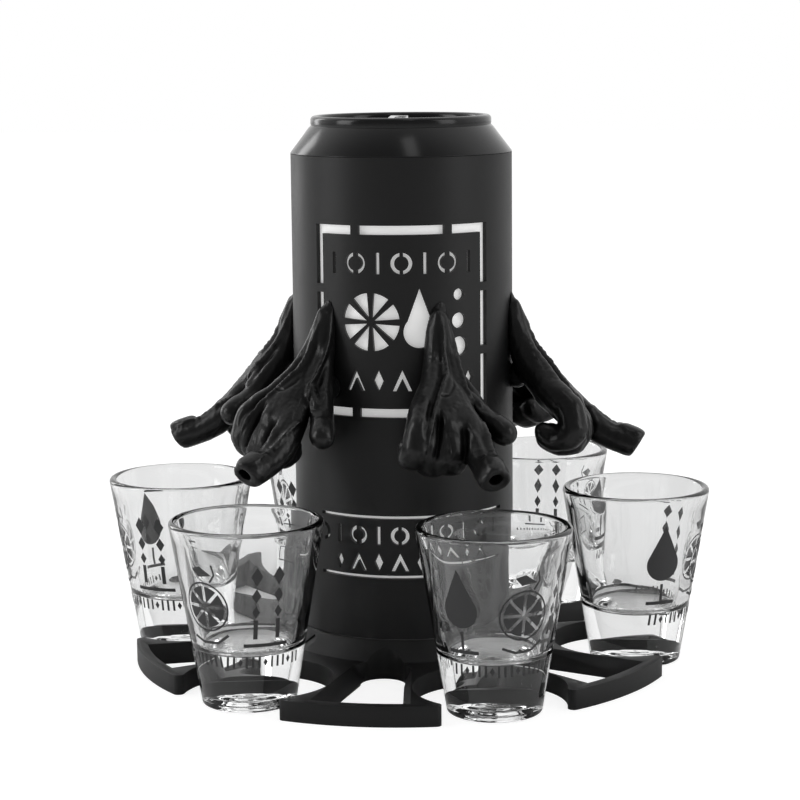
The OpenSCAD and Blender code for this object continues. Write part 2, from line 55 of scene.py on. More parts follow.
# %% [markdown]
# ## The camera
# The photograph was taken with a long lens, from a little above the table and a little
# to the right of the front arm. The camera stands where a fit of forty points of the
# object put it. Its matrix holds its right, up and backward directions, so the fitted
# aim, pitch and slight roll go straight in.

# %% Place the camera
stand, aim, pitch, roll = [math.radians(v) for v in (9.466, 9.556, 9.031, 0.58)]
distance, height, focal_px = 729.66 * MM, 198.27 * MM, 2296.7
level = Vector((-math.sin(aim), math.cos(aim), 0))
right = Vector((math.cos(aim), math.sin(aim), 0))
ahead = level * math.cos(pitch) - Vector((0, 0, 1)) * math.sin(pitch)
up = right.cross(ahead)
right_rolled = right * math.cos(roll) - up * math.sin(roll)
up_rolled = right * math.sin(roll) + up * math.cos(roll)
camera_data = bpy.data.cameras.new("camera")
camera_data.sensor_width = 36
picture_px = 800
camera_data.lens = focal_px / picture_px * camera_data.sensor_width
camera = bpy.data.objects.new("camera", camera_data)
axes = Matrix((right_rolled, up_rolled, -ahead)).transposed().to_4x4()
spot = Vector((distance * math.sin(stand), -distance * math.cos(stand), height))
camera.matrix_world = Matrix.Translation(spot) @ axes
bpy.context.scene.collection.objects.link(camera)
bpy.context.scene.camera = camera
print("lens", round(camera_data.lens, 1), "mm at", [round(v, 3) for v in camera.location])

# %% [markdown]
# ## Shader maths as plain expressions
# Blender stores shader maths as nodes. A small class wraps one output socket, so that
# `1 - mask * 0.5` adds its Math nodes by itself. Any other node comes from one method,
# `node`, which takes the node's type, its settings and what goes into its sockets.

# %% Wrap the sockets
class Value:
    """One output socket, with the operators that expressions need."""

    def __init__(self, finish, socket):
        self.finish, self.socket = finish, socket

    def math(self, operation, *others, flip=False):
        terms = [self, *others]
        if flip:
            terms.reverse()
        return self.finish.node("ShaderNodeMath", {"operation": operation},
                                dict(enumerate(terms)))

    def __add__(self, other): return self.math("ADD", other)
    def __radd__(self, other): return self.math("ADD", other, flip=True)
    def __sub__(self, other): return self.math("SUBTRACT", other)
    def __rsub__(self, other): return self.math("SUBTRACT", other, flip=True)
    def __mul__(self, other): return self.math("MULTIPLY", other)

    def step(self, low, high):
        """0 below low, 1 above high, smooth between them."""
        return self.finish.node("ShaderNodeMapRange", {"interpolation_type": "SMOOTHSTEP"},
                                {0: self, 1: low, 2: high, 3: 0.0, 4: 1.0})


class Finish:
    """One material and the nodes in it."""

    def __init__(self, name, **sockets):
        self.material = bpy.data.materials.new(name)
        self.material.use_nodes = True
        self.tree = self.material.node_tree
        self.shader = self.tree.nodes["Principled BSDF"]
        self.set(**sockets)

    def set(self, **sockets):
        """Sets inputs of the shader by name, with _ for a space."""
        for name, value in sockets.items():
            self.plug(self.shader.inputs[name.replace("_", " ")], value)

    def plug(self, socket, value):
        """Links a Value to a socket, or puts a constant in it."""
        if isinstance(value, Value):
            self.tree.links.new(value.socket, socket)
        else:
            socket.default_value = value

    def node(self, kind, settings=None, inputs=None, output=0):
        """Adds a node and gives one of its outputs as a Value."""
        made = self.tree.nodes.new(kind)
        for name, value in (settings or {}).items():
            setattr(made, name, value)
        for name, value in (inputs or {}).items():
            self.plug(made.inputs[name], value)
        return Value(self, made.outputs[output])

    def position(self):
        """Object coordinates, in metres."""
        return self.node("ShaderNodeTexCoord", output="Object")

    def height(self):
        """Height over the table, in metres."""
        return self.node("ShaderNodeSeparateXYZ", None, {0: self.position()}, output="Z")

    def speckle(self, size, detail=2.0, roughness=0.5, stretch=(1, 1, 1)):
        """Noise from 0 to 1, with features of about this size in metres."""
        where = self.node("ShaderNodeMapping", None,
                          {"Vector": self.position(), "Scale": stretch})
        return self.node("ShaderNodeTexNoise", {"noise_dimensions": "3D"},
                         {"Vector": where, "Scale": 1 / size, "Detail": detail,
                          "Roughness": roughness})

    def shade(self, mask, dark, light):
        """A colour between two colours."""
        return self.node("ShaderNodeMix", {"data_type": "RGBA"},
                         {0: mask, 6: (*dark, 1), 7: (*light, 1)}, output=2)

    def relief(self, height, depth, strength=1.0):
        """A Bump node. The height runs from 0 to 1 and depth is in metres."""
        return self.node("ShaderNodeBump", None,
                         {"Strength": strength, "Distance": depth, "Height": height})


print("shader helpers ready")

# %% [markdown]
# ## Light and floor
# The object stands on a white table with a white wall behind it, and the room in front
# is dim. Black satin plastic shows mostly what it reflects. So its front stays dark and
# its sides, which reflect the bright wall at a low angle, get their soft pale edges. The
# glasses get their dark outlines from the dim room in the same way.

# %% Light the room
scene = bpy.context.scene
scene.view_settings.view_transform = "Standard"
world = bpy.data.worlds.new("white_wall_behind")
scene.world = world
world.use_nodes = True
room = world.node_tree


def room_node(kind, **sockets):
    """Adds a node to the world, with constants in its inputs."""
    made = room.nodes.new(kind)
    for name, value in sockets.items():
        made.inputs[name.replace("_", " ")].default_value = value
    return made


where = room_node("ShaderNodeTexCoord")
split = room_node("ShaderNodeSeparateXYZ")
wall = room_node("ShaderNodeMapRange", From_Min=-0.55, From_Max=0.35, To_Min=0.26, To_Max=1.0)
wall.interpolation_type = "SMOOTHSTEP"
room.links.new(where.outputs["Generated"], split.inputs[0])
room.links.new(split.outputs["Y"], wall.inputs["Value"])
room.links.new(wall.outputs[0], room.nodes["Background"].inputs["Strength"])
room.nodes["Background"].inputs["Color"].default_value = (1, 1, 1, 1)


def softbox(name, place, aim_at, width, depth, watts):
    """A rectangular lamp at a place, turned to a point. All lengths are in metres."""
    lamp = bpy.data.lights.new(name, "AREA")
    lamp.shape, lamp.size, lamp.size_y, lamp.energy = "RECTANGLE", width, depth, watts
    box = bpy.data.objects.new(name, lamp)
    box.location = place
    box.rotation_euler = (Vector(aim_at) - Vector(place)).to_track_quat("-Z", "Y").to_euler()
    scene.collection.objects.link(box)


softbox("top_light", (0.19, -0.4, 1.0), (0, 0, 0.17), 0.16, 0.35, 0.3)
softbox("left_light", (-0.8, -0.35, 0.4), (0, 0, 0.1), 0.35, 0.6, 2.6)
softbox("rim_light", (-0.75, 0.5, 0.35), (0, 0, 0.1), 0.2, 0.6, 1.3)
softbox("right_light", (0.8, -0.3, 0.4), (0, 0, 0.1), 0.35, 0.6, 1.6)

# %% [markdown]
# The floor is white paper. In the photograph it is as white as the wall, with only a
# faint shadow left. So the camera sees the paper partly by its own glow, while all other
# rays see plain paper.

# %% Lay the floor
FLOOR_HALF = 4.0  # half the floor's side, in metres
GLOW, GLOW_SHARE = 1.3, 0.64
table = bmesh.new()
bmesh.ops.create_grid(table, x_segments=1, y_segments=1, size=FLOOR_HALF)
floor_mesh = bpy.data.meshes.new("floor")
table.to_mesh(floor_mesh)
table.free()
floor = bpy.data.objects.new("floor", floor_mesh)
scene.collection.objects.link(floor)
paper = Finish("white_paper", Roughness=0.7)
paper.set(Base_Color=paper.shade(paper.speckle(3 * MM), (0.9, 0.9, 0.9), (0.92, 0.92, 0.92)))
direct = paper.node("ShaderNodeLightPath", output="Is Camera Ray")
glow = paper.node("ShaderNodeEmission", None, {"Color": (1, 1, 1, 1), "Strength": GLOW})
seen = paper.node("ShaderNodeMixShader", None,
                  {0: direct * GLOW_SHARE, 1: Value(paper, paper.shader.outputs[0]), 2: glow})
paper.plug(paper.tree.nodes["Material Output"].inputs["Surface"], seen)
floor_mesh.materials.append(paper.material)
print("floor laid")

# %% [markdown]
# ## Finishes
# The base and the tower are printed in matt and satin black plastic, layer on layer.
# A fine wave up the object's height gives the layers, and a little noise breaks up the
# gloss. The core is white, with a painted glow, the can's end is smoother and glossier,
# and the glasses are clear.

# %% Make the finishes
LAYER = 0.2 * MM  # height of a printed layer


def printed(name, shade, rough):
    """Plastic printed in layers, with a cloudy tone and a fine grain."""
    finish = Finish(name, IOR=1.38)
    layers = (finish.height() * (2 * math.pi / LAYER)).math("SINE") * 0.5 + 0.5
    grain = finish.speckle(0.5 * MM, 3.0)
    cloud = finish.speckle(18 * MM, 2.0)
    tone = finish.shade(cloud, [c * 0.85 for c in shade], [min(c * 1.2, 0.95) for c in shade])
    finish.set(Base_Color=tone, Roughness=rough + (cloud - 0.5) * 0.12 + (grain - 0.5) * 0.06,
               Normal=finish.relief(layers * 0.8 + grain * 0.2, 0.012 * MM))
    return finish.material


def white_core_with_painted_glow():
    """White plastic with a painted glow, so that it stays white behind the dark sleeve."""
    material = printed("white_core", (0.93, 0.93, 0.92), 0.4)
    shader = material.node_tree.nodes["Principled BSDF"]
    # painted glow: a weak emission stands in for light on the core
    shader.inputs["Emission Color"].default_value = (1, 1, 0.99, 1)
    shader.inputs["Emission Strength"].default_value = 0.3
    return material


base_black = printed("printed_black_matt", (0.007, 0.007, 0.0072), 0.5)
tower_black = printed("printed_black_satin", (0.0045, 0.0045, 0.0047), 0.42)
white_plastic = white_core_with_painted_glow()
print("finishes:", base_black.name, tower_black.name, white_plastic.name)

# %% Finish of the can's end
def can_metal():
    """Smooth near-black with a soft sheen."""
    finish = Finish("dark_can_end", IOR=1.3, Coat_Weight=0.2, Coat_Roughness=0.14)
    fine = finish.speckle(0.35 * MM, 2.0)
    cloud = finish.speckle(14 * MM, 2.0)
    finish.set(Base_Color=finish.shade(cloud, (0.004, 0.004, 0.0042), (0.007, 0.007, 0.0073)),
               Roughness=0.2 + (cloud - 0.5) * 0.08,
               Normal=finish.relief(fine, 0.006 * MM))
    return finish.material


def rubber():
    """Soft dull black of the seals."""
    finish = Finish("seal_rubber", IOR=1.5)
    fine = finish.speckle(0.4 * MM, 2.0)
    finish.set(Base_Color=finish.shade(fine, (0.03, 0.03, 0.03), (0.05, 0.05, 0.05)),
               Roughness=0.7 + fine * 0.15, Normal=finish.relief(fine, 0.01 * MM))
    return finish.material


def tab_with_painted_edge_highlight():
    """Dark brushed strip whose rounded edges carry a painted highlight in their colour."""
    finish = Finish("tab_dark_painted_edge_highlight", IOR=1.5)
    brushed = finish.speckle(0.6 * MM, 2.0, stretch=(4, 0.5, 1))
    # painted highlight: Pointiness finds the rounded edges and colours them bright
    edge = finish.node("ShaderNodeNewGeometry", output="Pointiness").step(0.505, 0.56)
    finish.set(Base_Color=finish.shade(edge, (0.02, 0.02, 0.02), (0.85, 0.85, 0.85)),
               Metallic=0.3, Roughness=0.28 + brushed * 0.12,
               Normal=finish.relief(brushed, 0.01 * MM))
    return finish.material


can_end, seal_rubber, tab_metal = can_metal(), rubber(), tab_with_painted_edge_highlight()
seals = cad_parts["outlet_seals"].data.materials
seals.clear()
seals.append(seal_rubber)
print("finishes:", can_end.name, seal_rubber.name, tab_metal.name)

# %% Finish of the hands and of the glass
def hand_plastic():
    """Satin black, glossy on the ridges and dull in the folds. Its colour holds painted
    shade in the folds and a painted highlight on the ridges.
    """
    finish = Finish("hand_satin_black", IOR=1.16, Coat_Roughness=0.24, Coat_IOR=1.5)
    ridge = finish.node("ShaderNodeNewGeometry", output="Pointiness").step(0.47, 0.53)
    hollow = finish.node("ShaderNodeAmbientOcclusion", {"samples": 8, "only_local": True},
                         {"Distance": 6 * MM}, output="AO").step(0.45, 0.96)
    pores = finish.speckle(0.45 * MM, 3.0)
    strings = finish.speckle(1.6 * MM, 4.0, 0.6, stretch=(1, 1.6, 0.4))
    # painted shade and highlight: occlusion darkens folds, Pointiness lightens ridges
    fold_shade_and_ridge_light = hollow * (ridge * 0.7 + 0.3)
    tone = finish.shade(fold_shade_and_ridge_light, (0.0006, 0.0006, 0.0006), (0.006, 0.006, 0.0061))
    finish.set(Base_Color=tone,
               Roughness=0.62 - fold_shade_and_ridge_light * 0.14 + (pores - 0.5) * 0.12,
               Coat_Weight=fold_shade_and_ridge_light * 0.54,
               Normal=finish.relief(strings * 0.7 + pores * 0.3, 0.1 * MM))
    return finish.material


def clear_glass():
    """Glass with a faint unevenness, as cheap pressed glass has."""
    finish = Finish("clear_glass", IOR=1.5, Transmission_Weight=1.0)
    waves = finish.speckle(9 * MM, 1.0)
    finish.set(Base_Color=finish.shade(waves, (0.975, 0.98, 0.98), (1, 1, 1)),
               Roughness=0.0, Normal=finish.relief(waves, 0.06 * MM, 0.3))
    return finish.material


hand_skin, glass = hand_plastic(), clear_glass()
print("finishes:", hand_skin.name, glass.name)

# %% [markdown]
# ## Dressing a CAD piece
# A CAD node comes as loose triangles with flat shading. A copy of it is merged, its flat
# regions are joined, its sharp edges get a small round, and it is shaded smooth between
# them. The copy then stands for the node.

# %% Helpers for pieces
def add_piece(name, shape, body, material, stands_for=None, sharp=math.radians(32)):
    """Turns a bmesh into a piece that rides on a body."""
    for face in shape.faces:
        face.smooth = True
    for edge in shape.edges:
        edge.smooth = len(edge.link_faces) == 2 and edge.calc_face_angle(0) < sharp
    mesh = bpy.data.meshes.new(name)
    shape.to_mesh(mesh)
    shape.free()
    mesh.materials.append(material)
    piece = bpy.data.objects.new(name, mesh)
    scene.collection.objects.link(piece)
    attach(piece, body)
    if stands_for:
        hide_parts(stands_for)
    return piece


def merged_copy(node):
    """A bmesh of a CAD node with its triangles joined up again."""
    shape = bmesh.new()
    shape.from_mesh(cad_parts[node].data)
    bmesh.ops.remove_doubles(shape, verts=shape.verts, dist=0.002 * MM)
    bmesh.ops.dissolve_limit(shape, angle_limit=math.radians(0.6), verts=shape.verts,
                             edges=shape.edges, delimit={"NORMAL"})
    return shape


def round_edges(shape, radius, segments=2, sharp=math.radians(40)):
    """Rounds the edges that turn by more than sharp, and counts them."""
    edges = [e for e in shape.edges if len(e.link_faces) == 2 and e.calc_face_angle(0) > sharp]
    bmesh.ops.bevel(shape, geom=edges, offset=radius, offset_type="OFFSET", segments=segments,
                    profile=0.5, affect="EDGES", clamp_overlap=True, material=-1)
    return len(edges)


def spun(profile, turns):
    """Revolves a closed or open outline of (radius, height) pairs, in mm."""
    shape = bmesh.new()
    points = [shape.verts.new((r * MM, 0, z * MM)) for r, z in profile]
    edges = [shape.edges.new(pair) for pair in zip(points, points[1:])]
    bmesh.ops.spin(shape, geom=points + edges, axis=(0, 0, 1), cent=(0, 0, 0), steps=turns,
                   angle=2 * math.pi, use_merge=True)
    bmesh.ops.remove_doubles(shape, verts=shape.verts, dist=0.001 * MM)
    bmesh.ops.recalc_face_normals(shape, faces=shape.faces)
    return shape


print("piece helpers ready")

# %% [markdown]
# ## Base
# The star is one flat print: six arms with windows and a hub with a flared foot. Its
# outline is exact in the CAD model, so a copy of it is only rounded at its edges.

# %% Dress the base
star = merged_copy("base_star")
rounded = round_edges(star, 0.28 * MM)
base = add_piece("star_base", star, "base", base_black, "base_star")
print("base:", len(base.data.polygons), "faces,", rounded, "edges rounded")

# %% [markdown]
# ## Sleeve and core
# A round wall in the CAD mesh has flat facets. Where a facet lies on one of the tower's
# cylinders, its corners get the cylinder's own normals, so that it catches the light as
# one smooth can. The edges of the cut-outs stay crisp.

# %% Dress the sleeve and the core
def round_normals(mesh, radii):
    """Gives the corners that lie on these cylinders the cylinders' own normals."""
    normals = [Vector(corner.vector) for corner in mesh.corner_normals]
    count = 0
    for face in mesh.polygons:
        for loop in face.loop_indices:
            out = mesh.vertices[mesh.loops[loop].vertex_index].co * Vector((1, 1, 0))
            near = min(abs(out.length - radius * MM) for radius in radii)
            facing = out.normalized().dot(face.normal)
            if near < 0.06 * MM and abs(facing) > 0.99:
                normals[loop] = out.normalized() * (1 if facing > 0 else -1)
                count += 1
    mesh.normals_split_custom_set(normals)
    return count


sleeve_r, sleeve_wall, core_wall, core_gap = 35.0, 1.4, 2.0, 0.15
sleeve_in_r = sleeve_r - sleeve_wall
core_r = sleeve_in_r - core_gap
sleeve = add_piece("tower_sleeve", merged_copy("sleeve"), "tower", tower_black,
                   "sleeve")
core = add_piece("tower_core", merged_copy("core"), "tower", white_plastic,
                 "core")
print("rounded corners:", round_normals(sleeve.data, (sleeve_r, sleeve_in_r)),
      round_normals(core.data, (core_r, core_r - core_wall)))

# %% [markdown]
# ## The can's end
# The shoulder and the rim copy the end of a drinks can. Both are spun from one smooth
# outline: the cone meets the sleeve in a crisp corner, and a rolled bead makes the rim.
# The outline starts inside the sleeve, goes up outside and comes back down inside.

# %% Spin the shoulder and the rim
def arc(centre_r, centre_z, radius, start, end, count=8):
    """Points on a circle, from one angle to another, in degrees."""
    turns = [math.radians(start + (end - start) * i / count) for i in range(count + 1)]
    return [(centre_r + radius * math.cos(t), centre_z + radius * math.sin(t)) for t in turns]


lip_h, lid_depth, seat_w, rim_r, bead_r = 5, 8.2, 2.4, 28.55, 1.3
lip_r, lip_in_r = sleeve_in_r - 2.3, sleeve_in_r - 4.1
ring_low, ring_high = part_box("shoulder_ring")
shoulder_z, rim_z0, rim_z1 = [v / MM for v in (ring_low[2] + lip_h * MM, 0.1705, ring_high[2])]
seat_r, seat_z = rim_r - 2 * bead_r, rim_z1 - lid_depth
shoulder = spun([(lip_r, shoulder_z - lip_h), (lip_r, shoulder_z)]
                + arc(sleeve_r - 0.25, shoulder_z + 0.25, 0.25, -90, 37, 4)
                + [(rim_r + 0.55, rim_z0 - 0.75), (rim_r - 0.15, rim_z0 - 0.1)]
                + [(rim_r - 0.1, rim_z0 + 0.15)]
                + arc(rim_r - 0.3, rim_z0 + 0.5, 0.3, -40, 0, 3)
                + arc(rim_r - bead_r, rim_z1 - bead_r, bead_r, 0, 180, 14)
                + [(seat_r, rim_z1 - 3)] + arc(seat_r - 0.3, seat_z + 0.3, 0.3, 0, -90, 3)
                + [(seat_r - seat_w, seat_z), (seat_r - seat_w, seat_z - 1.8),
                   (lip_in_r, shoulder_z - 0.5), (lip_in_r, shoulder_z - lip_h),
                   (lip_r, shoulder_z - lip_h)], 160)
add_piece("shoulder_and_rim", shoulder, "tower", can_end, "shoulder_ring",
          math.radians(28))
print("shoulder spun, rim top at", round(rim_z1, 1), "mm")

# %% [markdown]
# The lid, with its pour mouth, is exact in the CAD model. So are the tab, the clip that
# holds its pin and the rivet that holds the clip. Copies of them only get rounded edges.
# The tab is a loop of strip, and its tip shows above the rim.

# %% Dress the lid, the tab, its clip and its rivet
lid_shape = merged_copy("lid")
round_edges(lid_shape, 0.22 * MM)
lid = add_piece("can_lid", lid_shape, "lid", can_end, "lid")
for node, body, size in (("pull_tab", "tab", 0.3), ("tab_clip", "lid", 0.15),
                         ("tab_rivet", "lid", 0.1)):
    shape = merged_copy(node)
    round_edges(shape, size * MM, 3, math.radians(35))
    add_piece("can_" + node, shape, body, tab_metal, node, math.radians(50))
print("lid:", len(lid.data.polygons), "faces, tab dressed")

# %% [markdown]
# ## Hands
# The hands are one sculpted shape that stands round the tower six times. The CAD model
# gives its mass, made of limbs. Here a copy is turned to point along X and remeshed into
# an even skin, and the skin is smoothed until the limbs melt together.

# %% Turn a hand to face along X and give it an even skin
LIMBS, LIMB_STEP = range(1, 7), 60
SKIN_GRID = 0.4 * MM


def limb_angle(number):
    """Angle of hand or glass number 1 to 6 round Z, from +X, in radians."""
    return math.radians((number - 0.5) * LIMB_STEP - LIMB_STEP - 90)


def even_skin(shape, voxel):
    """Replaces a closed shape by an even grid of small faces."""
    mesh = bpy.data.meshes.new("clay")
    shape.to_mesh(mesh)
    shape.free()
    clay = bpy.data.objects.new("clay", mesh)
    scene.collection.objects.link(clay)
    remesh = clay.modifiers.new("even skin", "REMESH")
    remesh.mode, remesh.voxel_size, remesh.use_smooth_shade = "VOXEL", voxel, True
    scene.view_layers[0].update()
    ready = clay.evaluated_get(bpy.context.evaluated_depsgraph_get())
    skin = bmesh.new()
    skin.from_mesh(ready.data)
    bpy.data.objects.remove(clay)
    bpy.data.meshes.remove(mesh)
    return skin


rough_hand = merged_copy("hand_1")
bmesh.ops.rotate(rough_hand, verts=rough_hand.verts, cent=(0, 0, 0),
                 matrix=Matrix.Rotation(-limb_angle(1), 3, "Z"))
bmesh.ops.triangulate(rough_hand, faces=rough_hand.faces)
hand = even_skin(rough_hand, SKIN_GRID)
print("even skin:", len(hand.verts), "points")

# %% [markdown]
# The smoothing leaves out what has to fit: the face against the tower, the bore and the
# cut end of the index finger. It is weaker at the thin wrist, whose tip it would shorten.
# What the tip still loses is given back at once.

# %% Smooth the skin, but not where it is machined
def fade(value, low, high):
    """0 below low, 1 above high, smooth between them."""
    t = np.clip((value - low) / (high - low), 0, 1)
    return t * t * (3 - 2 * t)


def path_distance(points, path):
    """Distance of each point from a path of corners in mm, and how far along it is."""
    best, where = np.full(len(points), 1e9), np.zeros(len(points))
    corners = [np.array(corner) * MM for corner in path]
    for number, (a, b) in enumerate(zip(corners, corners[1:])):
        way = b - a
        t = np.clip((points - a) @ way / (way @ way), 0, 1)
        gap = np.linalg.norm(points - a - t[:, None] * way, axis=1)
        closer = gap < best
        best[closer], where[closer] = gap[closer], (number + t[closer]) / (len(path) - 1)
    return best, where


def smooth_skin(points, edges, loose, rounds):
    """Moves each point towards the mean of its neighbours, rounds times."""
    ends = np.concatenate([edges, edges[:, ::-1]])
    count = np.bincount(ends[:, 0], minlength=len(points))[:, None]
    for _ in range(rounds):
        mean = np.stack([np.bincount(ends[:, 0], points[ends[:, 1], axis], len(points))
                         for axis in range(3)], axis=1) / count
        points = points + (mean - points) * loose[:, None] * 0.6
    return points


CHANNEL = [(30, 0, 91), (41, 0, 91), (56.5, 1, 77.3), (80.9, 0.3, 67.1)]  # the bore's middle
SMOOTH_ROUNDS = 38
TIP_RISE = 1.3 * MM
skin = np.array([v.co for v in hand.verts])
edges = np.array([[v.index for v in e.verts] for e in hand.edges])
off_tower = fade(np.hypot(skin[:, 0], skin[:, 1]), 35.1 * MM, 36.2 * MM)
off_channel = fade(path_distance(skin, CHANNEL)[0], 2.5 * MM, 3.1 * MM)
thin_wrist = fade(skin[:, 2], 105 * MM, 115 * MM)
from_outlet = np.linalg.norm(skin - np.array(CHANNEL[-1]) * MM, axis=1)
cut_end = 1 - fade(from_outlet, 6.5 * MM, 10 * MM)
loose = off_tower * off_channel
softness = loose * (1 - 0.6 * thin_wrist) * (1 - 0.9 * cut_end)
skin = smooth_skin(skin, edges, softness, SMOOTH_ROUNDS)
skin[:, 2] += TIP_RISE * fade(skin[:, 2], 102 * MM, 114 * MM)
print("smoothed:", round(float(loose.mean()), 2), "of the skin is loose")

# %% [markdown]
# Now the skin is raised along the sinews and sunk along the creases, as strokes of a
# modelling tool would do it. Each stroke is a path over the hand in millimetres, with a
# width and a height. A height below zero makes a crease. The rough strokes are the
# stringy sinews from the wrist to the thumb, to the ring finger and along the index finger.

# %% List the strokes
STROKES = [  # name, width, height, roughness, path
    ("side of the little finger", 2.5, 0.9, 0.1,
     [(36, -3, 114), (41.6, -5.6, 101.5), (47.7, -8.8, 94.1), (53.1, -14, 89),
      (57.4, -17.3, 83.7), (58.8, -19, 78.5)]),
    ("groove beside it", 1.0, -1.1, 0.3,
     [(38, -2.6, 112.5), (43.4, -4.4, 100.6), (47.3, -5.9, 96), (50.8, -9.1, 91.5),
      (54.8, -12.4, 87.1), (58.4, -15.3, 82.7), (59.5, -16.3, 78)]),
    ("sinew to the ring finger", 0.75, 0.9, 0.9,
     [(36.3, -1.1, 114.7), (40.3, -2.2, 106.3), (43.4, -2.8, 100.5), (46.1, -3.4, 97.2),
      (51.8, -8, 91.3), (54.1, -10, 88.9), (57.8, -13.4, 83.5), (59.2, -14.6, 79)]),
    ("hollow of the wrist", 1.3, -0.7, 0.2,
     [(39.5, -0.6, 107), (42.5, -0.9, 101), (46.2, -0.9, 96.4), (49.5, 0.2, 92)]),
    ("sinew to the thumb", 0.8, 1.0, 0.8,
     [(36, 0.9, 113), (38.3, 1.7, 105.4), (41.2, 1.9, 100.4), (44.8, 1.9, 95.4),
      (47.6, 1.8, 93), (49.4, 2.7, 90), (50.2, 5.6, 85.6), (53.5, 9.6, 83.6)]),
    ("groove beside the thumb", 1.0, -0.9, 0.3,
     [(39.5, 3.2, 103), (42.6, 3.6, 97), (45.6, 3.7, 92.6), (47.9, 6, 88)]),
    ("inner side of the thumb", 1.2, 0.6, 0.5,
     [(37.4, 3.4, 106), (40, 4.6, 100.2), (43, 5.2, 94.9), (45.6, 6.6, 90), (49, 9.6, 85.6)]),
    ("crease over the hand", 0.4, -0.45, 0.2,
     [(51.6, -9.8, 90.8), (51.8, -4.6, 91.5), (49.1, -2.1, 93.6), (47, -1.6, 95.6)]),
    ("little finger", 3.0, 0.9, 0.1,
     [(56, -13.4, 86.6), (58.2, -15.2, 82), (60, -16.2, 77.5), (59.4, -17, 73),
      (57, -17.4, 70)]),
    ("ring and middle fingers", 2.6, 0.8, 0.1,
     [(55.2, -6.8, 87.4), (58, -7.4, 82), (60.4, -7.9, 77.5), (60, -8.4, 73.4),
      (58, -8.6, 70)]),
    ("gap after the little finger", 0.85, -2.1, 0.15,
     [(54.6, -8.8, 88), (57.4, -10, 83.4), (59.8, -11.4, 78.6), (60.2, -12.4, 75),
      (58.6, -13, 71)]),
    ("tip of the little finger", 3.4, -1.6, 0,
     [(41, -15.6, 74.5), (46.5, -19, 75), (52, -21.4, 75.5)]),
    ("tip of the middle finger", 3.0, -1.3, 0,
     [(42, -3.4, 72.5), (46.5, -1.6, 73), (51, -0.6, 73)]),
    ("gap before the index finger", 1.1, -1.7, 0.2,
     [(57, -2.2, 83.6), (59.6, -2.9, 79.4), (60.8, -3.1, 75.6), (59.6, -3.2, 72.4)]),
    ("sinew of the index finger", 0.7, 0.75, 0.9,
     [(52.6, 4.4, 83.6), (56.9, 4.2, 82.4), (60.8, 3.9, 79.6), (64.7, 3.5, 76.9),
      (69.5, 3.2, 75), (75, 3.3, 72.9)]),
    ("second sinew of the index finger", 0.8, 0.5, 0.8,
     [(58.8, -0.9, 82.6), (62.6, -0.2, 79.2), (67, 0.1, 76.6), (71.6, -0.9, 75.2)]),
    ("groove of the index finger", 0.9, -0.55, 0.4,
     [(56, 1.9, 83.2), (61, 1.9, 79.8), (66, 1.6, 77.2), (71, 1.2, 75.6)]),
    ("first wrinkle of the index finger", 0.35, -0.35, 0.2,
     [(64.6, -3.6, 76), (66.4, 1, 77), (66, 5.4, 74.6)]),
    ("second wrinkle of the index finger", 0.35, -0.3, 0.2,
     [(67, -3.4, 75), (68.2, 1, 76.4), (68, 5.2, 73.6)]),
]
print("strokes:", len(STROKES))

# %% Raise the sinews and sink the creases
def normals_of(mesh):
    """The normal at each point of a mesh, as rows of an array."""
    out = np.zeros(len(mesh.vertices) * 3, dtype=np.float32)
    mesh.vertex_normals.foreach_get("vector", out)
    return out.reshape(-1, 3).astype(float)


def noise_at(points, size, stretch=(1, 1, 1), octaves=3):
    """Noise from about -1 to 1 at each point, with features of this size in mm."""
    scale = np.array(stretch) / (size * MM)
    return np.array([noise.fractal(Vector(p), 1.0, 2.0, octaves) for p in points * scale])


def mesh_from(name, points):
    """A mesh of the hand with its points moved to these places."""
    for vertex, point in zip(hand.verts, points):
        vertex.co = point
    mesh = bpy.data.meshes.new(name)
    hand.to_mesh(mesh)
    return mesh


SWELL = 0.48 * MM  # what the smoothing took off
out = normals_of(mesh_from("smooth hand", skin))
grain = noise_at(skin, 1.3, (1, 1.6, 0.45))
lift = np.zeros(len(skin))
for name, width, height, rough, path in STROKES:
    gap, along = path_distance(skin, path)
    gap = gap * (1 + 0.45 * rough * grain)
    ends = fade(along, -0.02, 0.22) * (1 - fade(along, 0.7, 1.02) * 0.85)
    lift += height * MM * np.exp(-(gap / (width * MM)) ** 2) * ends * (1 + 0.7 * rough * grain)
rough_patch = fade(noise_at(skin, 5.0), -0.1, 0.5)
lift += 0.08 * MM * noise_at(skin, 3.4, (1, 1.8, 0.5), 4) + 0.05 * MM * grain
lift += 0.09 * MM * rough_patch * noise_at(skin, 0.9, octaves=2)
lift = (lift + SWELL) * (1 - 0.6 * fade(skin[:, 2], 108 * MM, 115 * MM))
lift = lift * (1 - 0.8 * cut_end)
sculpted = skin + out * (lift * loose)[:, None]
sculpted = smooth_skin(sculpted, edges, loose, 1)
hand_mesh = mesh_from("sculpted hand", sculpted)
print("lift in mm:", round(lift.min() / MM, 2), "to", round(lift.max() / MM, 2))

# %% Set the six hands round the tower
hand.free()
hand_mesh.materials.append(hand_skin)
for polygon in hand_mesh.polygons:
    polygon.use_smooth = True
for number in LIMBS:
    mesh = hand_mesh.copy()
    mesh.transform(Matrix.Rotation(limb_angle(number), 4, "Z"))
    piece = bpy.data.objects.new(f"pouring_hand_{number}", mesh)
    scene.collection.objects.link(piece)
    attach(piece, "tower")
    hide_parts(f"hand_{number}")
print("hands:", len(LIMBS), "of", len(hand_mesh.polygons), "faces")

# %% [markdown]
# ## Shot glasses
# A shot glass is a thick cup: a heavy clear foot with a hollow under it, and a plain
# wall that flares to a rounded rim. It is spun from its section, which is closed, so
# that light bends at both sides of the glass. The hollow has faint rings, and the inner
# wall has the shallow waves of pressed glass.

